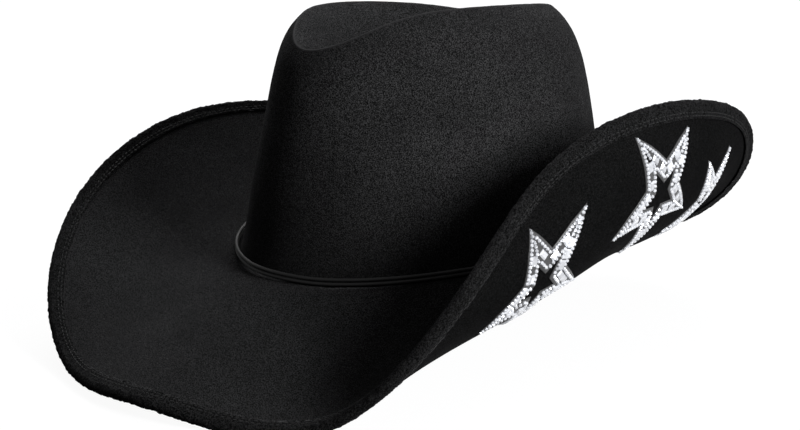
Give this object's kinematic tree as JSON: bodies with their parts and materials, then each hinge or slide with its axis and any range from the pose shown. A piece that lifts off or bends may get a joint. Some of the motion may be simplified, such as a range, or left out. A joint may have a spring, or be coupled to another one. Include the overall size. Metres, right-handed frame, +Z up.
{
  "type": "western hat",
  "caption": "Black velvet western hat with a teardrop-creased crown, a rolled wired brim, a twin-cord band and stone-set star patches under the brim.",
  "frame": {"origin": "middle of the bottom of the box round the hat, level with the lowest point of the brim; the middle of the head opening stands at 20, -3 and 51 mm", "axes": "+Z up out of the crown, -Y towards the front of the hat, +X towards the wearer's left"},
  "size_m": [0.3296, 0.3892, 0.181],
  "materials": {
    "crown_velvet": "short-pile velvet, matt with a grey sheen at grazing angles",
    "brim_velvet": "short-pile velvet with uneven nap",
    "under_velvet": "close-cropped near-black velvet",
    "binding_velvet": "deeper-pile velvet strip, folded and stitched",
    "stiffener": "pressed stiffened felt",
    "sweatband": "ribbed grosgrain",
    "label": "blank woven satin",
    "cord": "fine ribbed cord",
    "wire": "spring steel wire",
    "ferrule": "crimped tube",
    "star_film": "thin grey backing film",
    "star_stones": "foil-backed clear stones"
  },
  "bodies": {
    "root": {"crown_cover": "crown_velvet", "crown_stiffener": "stiffener", "sweatband": "sweatband", "sweatband_label": "label", "brim_top_cover": "brim_velvet", "brim_core": "stiffener", "brim_under_cover": "under_velvet", "edge_binding": "binding_velvet", "brim_wire": "wire", "wire_ferrule": "ferrule", "band_cord_lower": "cord", "band_cord_upper": "cord", "star_left_front_film": "star_film", "star_left_front_stones": "star_stones", "star_left_middle_film": "star_film", "star_left_middle_stones": "star_stones", "star_left_rear_film": "star_film", "star_left_rear_stones": "star_stones", "star_right_front_film": "star_film", "star_right_front_stones": "star_stones", "star_right_middle_film": "star_film", "star_right_middle_stones": "star_stones", "star_right_rear_film": "star_film", "star_right_rear_stones": "star_stones"}
  },
  "joints": []
}
